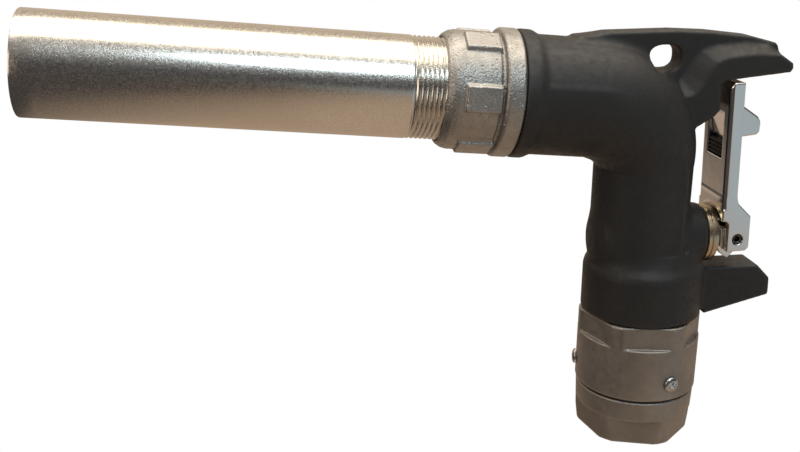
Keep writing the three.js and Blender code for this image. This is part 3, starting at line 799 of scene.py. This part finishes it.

# %% [markdown]
# The spring closes the poppet. It is a round wire swept along a helix, and it moves with the stem.

# %% Valve spring
coil_radius, wire_radius, coil_turns = 6.4, 0.8, 4
coil_from, coil_to = 0.5, 12.5
share = np.linspace(0, 1, 36 * coil_turns + 1)[:, None]
winding = 2 * math.pi * coil_turns * share
outward = np.hstack([0 * winding, np.cos(winding), np.sin(winding)])
onward = np.hstack([0 * winding + (coil_to - coil_from) / (2 * math.pi * coil_turns),
                    -coil_radius * np.sin(winding), coil_radius * np.cos(winding)])
sideways = np.cross(onward / np.linalg.norm(onward, axis=1, keepdims=True), outward)
centre = np.hstack([coil_from + (coil_to - coil_from) * share, coil_radius * outward[:, 1:]])
wire_sides = 14
wire_turn = np.arange(wire_sides) * 2 * math.pi / wire_sides
wire = (centre[:, None] + wire_radius * (np.cos(wire_turn)[:, None] * outward[:, None]
                                         + np.sin(wire_turn)[:, None] * sideways[:, None]))
coil_points = wire.reshape(-1, 3) + np.array([0, 0, valve_height])
coil_faces = [(i * wire_sides + j, i * wire_sides + (j + 1) % wire_sides,
               (i + 1) * wire_sides + (j + 1) % wire_sides, (i + 1) * wire_sides + j)
              for i in range(len(share) - 1) for j in range(wire_sides)]
last_ring = (len(share) - 1) * wire_sides
coil_faces += [range(wire_sides), range(last_ring + wire_sides - 1, last_ring - 1, -1)]
spring = make_piece("spring_coil", coil_points, coil_faces, 40)
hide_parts("valve_spring")
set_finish(spring, "steel")
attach(spring, "stem")
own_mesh(spring)

# %% [markdown]
# ## Shader node groups
# Four effects turn up in more than one finish: the grain of cast metal, wear on edges, the marks
# a tool leaves, and slow patches of tarnish. Each is a node group with its own inputs, so every
# material sets it for its own metal. A group gives out only heights and masks.


# %% Group helpers
def new_group(name, inputs, outputs):
    tree = bpy.data.node_groups.new(name, "ShaderNodeTree")
    for label, kind, default in inputs:
        made = tree.interface.new_socket(label, in_out="INPUT", socket_type="NodeSocket" + kind)
        made.default_value = default
    for label in outputs:
        tree.interface.new_socket(label, in_out="OUTPUT", socket_type="NodeSocketFloat")
    return tree, tree.nodes.new("NodeGroupInput"), tree.nodes.new("NodeGroupOutput")


def node(tree, kind, links=(), **values):
    made = tree.nodes.new("ShaderNode" + kind)
    for key, value in values.items():
        if key in made.inputs:
            made.inputs[key].default_value = value
        else:
            setattr(made, key, value)
    for socket, source in dict(links).items():
        tree.links.new(source, made.inputs[socket])
    return made


def math_node(tree, operation, a, b, clamp=False):
    made = tree.nodes.new("ShaderNodeMath")
    made.operation = operation
    made.use_clamp = clamp
    for i, value in enumerate((a, b)):
        if isinstance(value, (int, float)):
            made.inputs[i].default_value = value
        else:
            tree.links.new(value, made.inputs[i])
    return made.outputs[0]


def map_range(tree, value, source=(0.0, 1.0), result=(0.0, 1.0)):
    made = node(tree, "MapRange", {"Value": value})
    limits = ("From Min", "From Max", "To Min", "To Max")
    for label, number in zip(limits, (*source, *result)):
        made.inputs[label].default_value = number
    return made.outputs["Result"]


def mix_colours(tree, a, b, mask):
    made = tree.nodes.new("ShaderNodeMix")
    made.data_type = "RGBA"
    # Inputs 6 and 7 are the two colours, and output 2 is their mix.
    for socket, colour in ((6, a), (7, b)):
        if isinstance(colour, tuple):
            made.inputs[socket].default_value = (*colour, 1)
        else:
            tree.links.new(colour, made.inputs[socket])
    tree.links.new(mask, made.inputs[0])
    return made.outputs[2]


def report(name, tree):
    print(name, "has", len(tree.nodes), "nodes and", len(tree.links), "links")


# %% [markdown]
# ## Cast grain
# Sand leaves a fine grain on cast metal, with slower lumps under it and a few pits. Two noises and
# one cell pattern add up to one height.

# %% Cast grain: fine sand, slower lumps and scattered pits
grain_tree, grain_in, grain_out = new_group(
    "cast_grain", [("Scale", "Float", 900.0), ("Lumps", "Float", 0.4), ("Pits", "Float", 0.3)],
    ["Height", "Mottle"])
spot = node(grain_tree, "TexCoord").outputs["Object"]
sand = node(grain_tree, "TexNoise", {"Vector": spot, "Scale": grain_in.outputs["Scale"]}, Detail=3.0)
lump_scale = math_node(grain_tree, "MULTIPLY", grain_in.outputs["Scale"], 0.23)
lumps = node(grain_tree, "TexNoise", {"Vector": spot, "Scale": lump_scale}, Detail=2.0)
pit_scale = math_node(grain_tree, "MULTIPLY", grain_in.outputs["Scale"], 0.35)
pits = node(grain_tree, "TexVoronoi", {"Vector": spot, "Scale": pit_scale})
pit_depth = map_range(grain_tree, pits.outputs["Distance"], (0.12, 0.3), (1.0, 0.0))
raised = math_node(grain_tree, "MULTIPLY", lumps.outputs["Fac"], grain_in.outputs["Lumps"])
sunk = math_node(grain_tree, "MULTIPLY", pit_depth, grain_in.outputs["Pits"])
total = math_node(grain_tree, "ADD", sand.outputs["Fac"], raised)
grain_tree.links.new(math_node(grain_tree, "SUBTRACT", total, sunk), grain_out.inputs["Height"])
grain_tree.links.new(lumps.outputs["Fac"], grain_out.inputs["Mottle"])
report("cast_grain", grain_tree)

# %% [markdown]
# ## Edge wear
# Handling rubs a coat off its edges first. Pointiness says how convex the surface is, and a noise
# breaks the mask up.

# %% Edge wear: convex edges, broken up so that the wear is uneven
wear_tree, wear_in, wear_out = new_group(
    "edge_wear", [("Amount", "Float", 0.5), ("Breakup", "Float", 250.0)], ["Mask"])
shape = node(wear_tree, "NewGeometry")
convex = map_range(wear_tree, shape.outputs["Pointiness"], (0.51, 0.58))
spot = node(wear_tree, "TexCoord").outputs["Object"]
patches = node(wear_tree, "TexNoise", {"Vector": spot, "Scale": wear_in.outputs["Breakup"]}, Detail=4.0)
worn = math_node(wear_tree, "MULTIPLY", convex, patches.outputs["Fac"])
mask = math_node(wear_tree, "MULTIPLY", worn, wear_in.outputs["Amount"], clamp=True)
wear_tree.links.new(mask, wear_out.inputs["Mask"])
report("edge_wear", wear_tree)

# %% [markdown]
# ## Tool marks
# A lathe leaves fine lines that all run one way, and noise stretched along one axis gives them.

# %% Tool marks: noise squeezed along the tool's travel
marks_tree, marks_in, marks_out = new_group(
    "tool_marks", [("Stretch", "Vector", (4000.0, 60.0, 60.0))], ["Height"])
spot = node(marks_tree, "TexCoord").outputs["Object"]
squeezed = marks_tree.nodes.new("ShaderNodeVectorMath")
squeezed.operation = "MULTIPLY"
marks_tree.links.new(spot, squeezed.inputs[0])
marks_tree.links.new(marks_in.outputs["Stretch"], squeezed.inputs[1])
lines = node(marks_tree, "TexNoise", {"Vector": squeezed.outputs[0]}, Scale=1.0, Detail=3.0)
marks_tree.links.new(lines.outputs["Fac"], marks_out.inputs["Height"])
report("tool_marks", marks_tree)

# %% [markdown]
# ## Tarnish
# Metal dulls in patches. A slow noise between two limits gives a mask for them.

# %% Tarnish: slow cloudy patches
cloud_tree, cloud_in, cloud_out = new_group(
    "tarnish", [("Scale", "Float", 40.0), ("Low", "Float", 0.35), ("High", "Float", 0.65)], ["Mask"])
spot = node(cloud_tree, "TexCoord").outputs["Object"]
clouds = node(cloud_tree, "TexNoise", {"Vector": spot, "Scale": cloud_in.outputs["Scale"]}, Detail=5.0)
spread = node(cloud_tree, "MapRange", {
    "Value": clouds.outputs["Fac"],
    "From Min": cloud_in.outputs["Low"],
    "From Max": cloud_in.outputs["High"],
})
cloud_tree.links.new(spread.outputs["Result"], cloud_out.inputs["Mask"])
report("tarnish", cloud_tree)

# %% [markdown]
# ## Finishes
# A material places the groups, mixes its colours and roughness by their masks, and turns their
# heights into bumps of a real size. The number that never changes over the surface is set on the
# shader's own socket.


# %% Material helpers
class Finish:
    def __init__(self, name, metallic=0.0, roughness=0.5, **sockets):
        self.material = bpy.data.materials.new(name)
        self.material.use_nodes = True
        self.tree = self.material.node_tree
        self.shader = self.tree.nodes["Principled BSDF"]
        self.shader.inputs["Metallic"].default_value = metallic
        self.shader.inputs["Roughness"].default_value = roughness
        for key, value in sockets.items():
            self.shader.inputs[key.replace("_", " ")].default_value = value

    def group(self, tree, **values):
        made = self.tree.nodes.new("ShaderNodeGroup")
        made.node_tree = tree
        for key, value in values.items():
            made.inputs[key].default_value = value
        return made

    def mix(self, a, b, mask):
        return mix_colours(self.tree, a, b, mask)

    def span(self, value, low, high, source=(0.0, 1.0)):
        return map_range(self.tree, value, source, (low, high))

    def bump(self, height, strength, millimetres, under=None):
        made = node(self.tree, "Bump", {"Height": height}, Strength=strength,
                    Distance=millimetres * MM)
        if under:
            self.tree.links.new(under, made.inputs["Normal"])
        return made.outputs["Normal"]

    def feed(self, socket, source):
        self.tree.links.new(source, self.shader.inputs[socket])

    def clouded(self, a, b, **values):
        made = self.group(cloud_tree, **values)
        return self.mix(a, b, made.outputs["Mask"])

    def worn(self, colour, edge, **values):
        made = self.group(wear_tree, **values)
        self.feed("Base Color", self.mix(colour, edge, made.outputs["Mask"]))

    def texture(self, group, mask, gloss, strength, millimetres):
        self.feed("Roughness", self.span(group.outputs[mask], *gloss, (0.3, 0.7)))
        self.feed("Normal", self.bump(group.outputs["Height"], strength, millimetres))
        self.report()

    def report(self):
        report(self.material.name, self.tree)


# %% [markdown]
# ## Black coat
# The body has a matt black coat with a fine grain, and a little grey shows on rubbed edges.

# %% Matt black casting
black = Finish("black_coat", 0.0, 0.55)
grain = black.group(grain_tree, Scale=1400.0, Lumps=0.5, Pits=0.25)
coat = black.clouded((0.018, 0.0185, 0.0195), (0.025, 0.025, 0.0255), Scale=28.0, Low=0.3, High=0.7)
black.worn(coat, (0.11, 0.10, 0.095), Amount=0.55, Breakup=260.0)
black.texture(grain, "Mottle", (0.46, 0.64), 0.35, 0.25)

# %% [markdown]
# ## Plated casting
# The collar was cast in coarse sand and then plated. The plate keeps the pits, so the bump is the
# deepest of any finish.

# %% Plated collar, over a coarse sand casting
plated = Finish("plated_cast", 1.0, 0.4)
grain = plated.group(grain_tree, Scale=1150.0, Lumps=0.7, Pits=0.5)
coat = plated.clouded((0.36, 0.35, 0.33), (0.47, 0.46, 0.44), Scale=60.0, Low=0.3, High=0.7)
plated.worn(coat, (0.74, 0.72, 0.68), Amount=0.6, Breakup=400.0)
plated.texture(grain, "Mottle", (0.36, 0.54), 0.75, 0.4)

# %% [markdown]
# ## Bare casting
# The swivel and the inlet have no coat. They are a warm grey, polished by wrenches at the edges.

# %% Bare cast swivel
bare = Finish("bare_cast", 0.85, 0.5)
grain = bare.group(grain_tree, Scale=1500.0, Lumps=0.4, Pits=0.35)
metal = bare.clouded((0.30, 0.275, 0.25), (0.40, 0.375, 0.345), Scale=55.0, Low=0.3, High=0.7)
bare.worn(metal, (0.62, 0.60, 0.57), Amount=0.9, Breakup=350.0)
bare.texture(grain, "Mottle", (0.4, 0.58), 0.3, 0.25)

# %% [markdown]
# ## Galvanised pipe
# Hot zinc freezes as crystals, each with its own tint and gloss. A cell pattern gives every crystal
# a value, and streaks and a finer noise stop the crystals from looking like tiles.

# %% Galvanised pipe: zinc crystals that each face a little differently
zinc = Finish("galvanised", 1.0, 0.3)
where = node(zinc.tree, "TexCoord").outputs["Object"]
crystals = node(zinc.tree, "TexVoronoi", {"Vector": where}, Scale=1500.0)
fine = node(zinc.tree, "TexNoise", {"Vector": where}, Scale=2800.0, Detail=3.0)
runs = zinc.group(marks_tree, Stretch=(45.0, 700.0, 700.0))
dull = zinc.group(cloud_tree, Scale=22.0, Low=0.35, High=0.65)
shade = zinc.span(crystals.outputs["Color"], 0.0, 1.0)
zinc_colour = zinc.mix((0.68, 0.65, 0.60), (0.86, 0.84, 0.79), shade)
half_dull = zinc.span(dull.outputs["Mask"], 0.0, 0.5)
zinc.feed("Base Color", zinc.mix(zinc_colour, (0.66, 0.62, 0.57), half_dull))
zinc.feed("Roughness", zinc.span(shade, 0.17, 0.3))
tilted = zinc.bump(crystals.outputs["Color"], 0.25, 0.04)
streaked = zinc.bump(runs.outputs["Height"], 0.2, 0.08, tilted)
zinc.feed("Normal", zinc.bump(fine.outputs["Fac"], 0.25, 0.05, streaked))
zinc.report()

# %% [markdown]
# ## Chrome
# Chrome is nearly a mirror. A slow ripple bends its reflections a little, as hand polishing does.

# %% Chromed lever
chrome = Finish("chrome_plate", 1.0, 0.12)
ripple = chrome.group(grain_tree, Scale=180.0, Lumps=0.6, Pits=0.0)
chrome.worn((0.80, 0.81, 0.82), (0.92, 0.91, 0.89), Amount=0.8, Breakup=300.0)
chrome.texture(ripple, "Mottle", (0.08, 0.2), 0.25, 0.15)

# %% [markdown]
# ## Brass
# Turned brass shows fine rings, and dulls to brown in patches.

# %% Turned brass
brass = Finish("turned_brass", 1.0, 0.25)
marks = brass.group(marks_tree, Stretch=(3800.0, 40.0, 40.0))
metal = brass.clouded((0.50, 0.40, 0.27), (0.68, 0.57, 0.41), Scale=120.0, Low=0.3, High=0.7)
brass.feed("Base Color", metal)
brass.texture(marks, "Height", (0.15, 0.34), 0.3, 0.05)

# %% [markdown]
# ## Steel
# The screws and the spring are bright steel. The pivot pin has a black oxide skin, so it has the
# same marks and a much darker colour.

# %% Turned steel and blackened steel
steel = Finish("turned_steel", 1.0, 0.22)
marks = steel.group(marks_tree, Stretch=(900.0, 900.0, 2600.0))
steel.worn((0.50, 0.50, 0.51), (0.72, 0.71, 0.70), Amount=0.7, Breakup=500.0)
steel.texture(marks, "Height", (0.14, 0.3), 0.2, 0.04)

oxide = Finish("black_oxide", 1.0, 0.35)
marks = oxide.group(marks_tree, Stretch=(900.0, 900.0, 2600.0))
oxide.worn((0.05, 0.048, 0.046), (0.30, 0.29, 0.28), Amount=0.8, Breakup=500.0)
oxide.texture(marks, "Height", (0.28, 0.45), 0.2, 0.04)

# %% [markdown]
# ## Packing and rubber
# The packing is a dark fibre and the seals are rubber, so neither shines.

# %% Packing and rubber
packing = Finish("packing_fibre", 0.0, 0.75)
fibres = packing.group(marks_tree, Stretch=(300.0, 2500.0, 2500.0))
fibre_colour = packing.mix((0.03, 0.03, 0.032), (0.06, 0.058, 0.055), fibres.outputs["Height"])
packing.feed("Base Color", fibre_colour)
packing.feed("Normal", packing.bump(fibres.outputs["Height"], 0.4, 0.1))
packing.report()

rubber = Finish("seal_rubber", 0.0, 0.6)
grain = rubber.group(grain_tree, Scale=2600.0, Lumps=0.4, Pits=0.2)
rubber_colour = rubber.mix((0.012, 0.012, 0.013), (0.03, 0.029, 0.028), grain.outputs["Mottle"])
rubber.feed("Base Color", rubber_colour)
rubber.feed("Normal", rubber.bump(grain.outputs["Height"], 0.25, 0.12))
rubber.report()

# %% [markdown]
# ## Finishes on the pieces
# Every piece has a slot, and every slot has one finish. The exception is the pivot pin, which is in
# the steel slot and is blackened.

# %% Give every piece its finish
finishes = {
    "galvanised_pipe": zinc, "plated_casting": plated, "black_casting": black, "bare_casting": bare,
    "chrome": chrome, "brass": brass, "steel": steel, "packing": packing, "seal_rubber": rubber,
}
slots = {part["node"]: part["material_slot"] for part in frame["record"]["subparts"]}
for piece in list(nodes.values()) + [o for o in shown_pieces() if "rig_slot" in o]:
    slot = piece.get("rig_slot") or slots[piece["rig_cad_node"]]
    piece.data.materials.clear()
    finish = oxide if piece == pin else finishes[slot]
    piece.data.materials.append(finish.material)

# %% [markdown]
# ## Floor, light and camera
# The nozzle hangs over a floor that shows white to the camera, as a paper sweep does. What the
# metal reflects is set apart from that: warm paper near and to the right, a dark room to the left,
# and a cool patch in front on the right. The floor gives its own light, so it takes no shadow.


# %% Floor
def light_path_mix(tree, seen, otherwise):
    path = tree.nodes.new("ShaderNodeLightPath")
    mixed = tree.nodes.new("ShaderNodeMixShader")
    tree.links.new(path.outputs["Is Camera Ray"], mixed.inputs[0])
    tree.links.new(otherwise, mixed.inputs[1])
    tree.links.new(seen, mixed.inputs[2])
    return mixed.outputs[0]


floor_paint = bpy.data.materials.new("floor_paint")
floor_paint.use_nodes = True
floor_tree = floor_paint.node_tree
floor_tree.nodes.remove(floor_tree.nodes["Principled BSDF"])
pale = node(floor_tree, "Emission", Color=(1, 1, 1, 1), Strength=1.0)
floor_shape = node(floor_tree, "NewGeometry")
spot = node(floor_tree, "SeparateXYZ", {"Vector": floor_shape.outputs["Position"]})
steep = math_node(floor_tree, "MULTIPLY", spot.outputs["X"], 5.8)
slanted = math_node(floor_tree, "ADD", steep, spot.outputs["Y"])
paper_share = map_range(floor_tree, slanted, (-2.9, -1.3))
right_share = map_range(floor_tree, spot.outputs["X"], (0.2, 0.8))
front_share = map_range(floor_tree, spot.outputs["Y"], (-0.2, -0.6))
cool_share = math_node(floor_tree, "MULTIPLY", right_share, front_share)
dark_tone, paper_tone, cool_tone = (0.06, 0.053, 0.05), (0.46, 0.34, 0.245), (0.40, 0.455, 0.47)
tone = mix_colours(floor_tree, dark_tone, paper_tone, paper_share)
tone = mix_colours(floor_tree, tone, cool_tone, cool_share)
reflected = node(floor_tree, "Emission", {"Color": tone}, Strength=1.0)
surface = light_path_mix(floor_tree, pale.outputs[0], reflected.outputs[0])
floor_tree.links.new(surface, floor_tree.nodes["Material Output"].inputs["Surface"])
report("floor_paint", floor_tree)

# %% [markdown]
# The floor is one large square under the nozzle.

# %% Floor mesh
half = 30.0
floor_height = -0.3
floor_mesh = bpy.data.meshes.new("floor")
floor_corners = [(-half, -half), (half, -half), (half, half), (-half, half)]
floor_mesh.from_pydata([(x, y, floor_height) for x, y in floor_corners], [], [(0, 1, 2, 3)])
floor = bpy.data.objects.new("floor", floor_mesh)
floor.data.materials.append(floor_paint)
bpy.context.scene.collection.objects.link(floor)
print("floor is", 2 * half, "m wide at", floor_height, "m")

# %% [markdown]
# ## The room
# The room is dim round the horizon, warm below and pale above, with a warm wall at the back. Bands
# of dark and light in its reflections make bare metal look like metal.

# %% World: white to the camera, a dim warm room in reflections
world = bpy.data.worlds.new("room")
bpy.context.scene.world = world
world.use_nodes = True
sky = world.node_tree
sky.nodes.remove(sky.nodes["Background"])
direction = node(sky, "TexCoord").outputs["Generated"]
split = node(sky, "SeparateXYZ", {"Vector": direction})
ramp = sky.nodes.new("ShaderNodeValToRGB")
stops = [
    (0.0, (0.42, 0.31, 0.225)),
    (0.48, (0.07, 0.06, 0.055)),
    (0.64, (0.06, 0.06, 0.065)),
    (1.0, (0.5, 0.47, 0.43)),
]
elements = ramp.color_ramp.elements
elements[0].position = stops[0][0]
elements[1].position = stops[-1][0]
for position, _ in stops[1:-1]:
    elements.new(position)
for element, (_, colour) in zip(elements, stops):
    element.color = (*colour, 1)
height = math_node(sky, "MULTIPLY_ADD", split.outputs["Z"], 0.5)
height.node.inputs[2].default_value = 0.5
sky.links.new(height, ramp.inputs["Fac"])
behind = map_range(sky, split.outputs["Y"], (0.0, 0.9))
room_tone = mix_colours(sky, ramp.outputs["Color"], (0.62, 0.50, 0.38), behind)
room = node(sky, "Background", {"Color": room_tone}, Strength=1.0)
paper = node(sky, "Background", Color=(1, 1, 1, 1), Strength=1.0)
surface = light_path_mix(sky, paper.outputs[0], room.outputs[0])
sky.links.new(surface, sky.nodes["World Output"].inputs["Surface"])
report("room", sky)

# %% [markdown]
# ## Lights
# A wide warm softbox above makes the long highlight on the pipe. A small cool window high in
# front draws the edges of the body, and a warm fill on the left lights the pipe's end.


# %% Lights
def soft_light(name, place, target, width, height, watts, colour):
    data = bpy.data.lights.new(name, "AREA")
    data.shape = "RECTANGLE"
    data.size, data.size_y = width, height
    data.energy, data.color = watts, colour
    lamp = bpy.data.objects.new(name, data)
    lamp.location = place
    toward = Vector(target) - Vector(place)
    lamp.rotation_euler = toward.to_track_quat("-Z", "Y").to_euler()
    bpy.context.scene.collection.objects.link(lamp)
    print(name, "gives", watts, "W from", round(toward.length, 2), "m")


soft_light("top_softbox", (-0.1, 0.05, 0.95), (-0.1, 0.0, 0.15), 1.5, 0.7, 9.0, (1.0, 0.89, 0.75))
soft_light("cool_window", (0.1, -1.0, 1.15), (0.0, 0.0, 0.15), 0.5, 0.35, 4.5, (0.75, 0.9, 1.0))
soft_light("warm_fill", (-1.1, -0.5, 0.35), (0.0, 0.0, 0.15), 0.6, 0.6, 2.0, (1.0, 0.82, 0.65))

# %% [markdown]
# ## The camera
# The camera stands in front and a little above. The standard view transform keeps white paper
# white.

# %% Camera
camera_data = bpy.data.cameras.new("camera")
camera_data.sensor_width = 36
camera_data.lens = 44.98
camera = bpy.data.objects.new("camera", camera_data)
camera.location = (-0.19197, -0.46064, 0.26906)
camera.rotation_euler = (math.radians(71.78), 0, math.radians(-8.12))
bpy.context.scene.collection.objects.link(camera)
bpy.context.scene.camera = camera
bpy.context.scene.view_settings.view_transform = "Standard"
print("camera at", [round(v, 3) for v in camera.location], "with a", camera_data.lens, "mm lens")
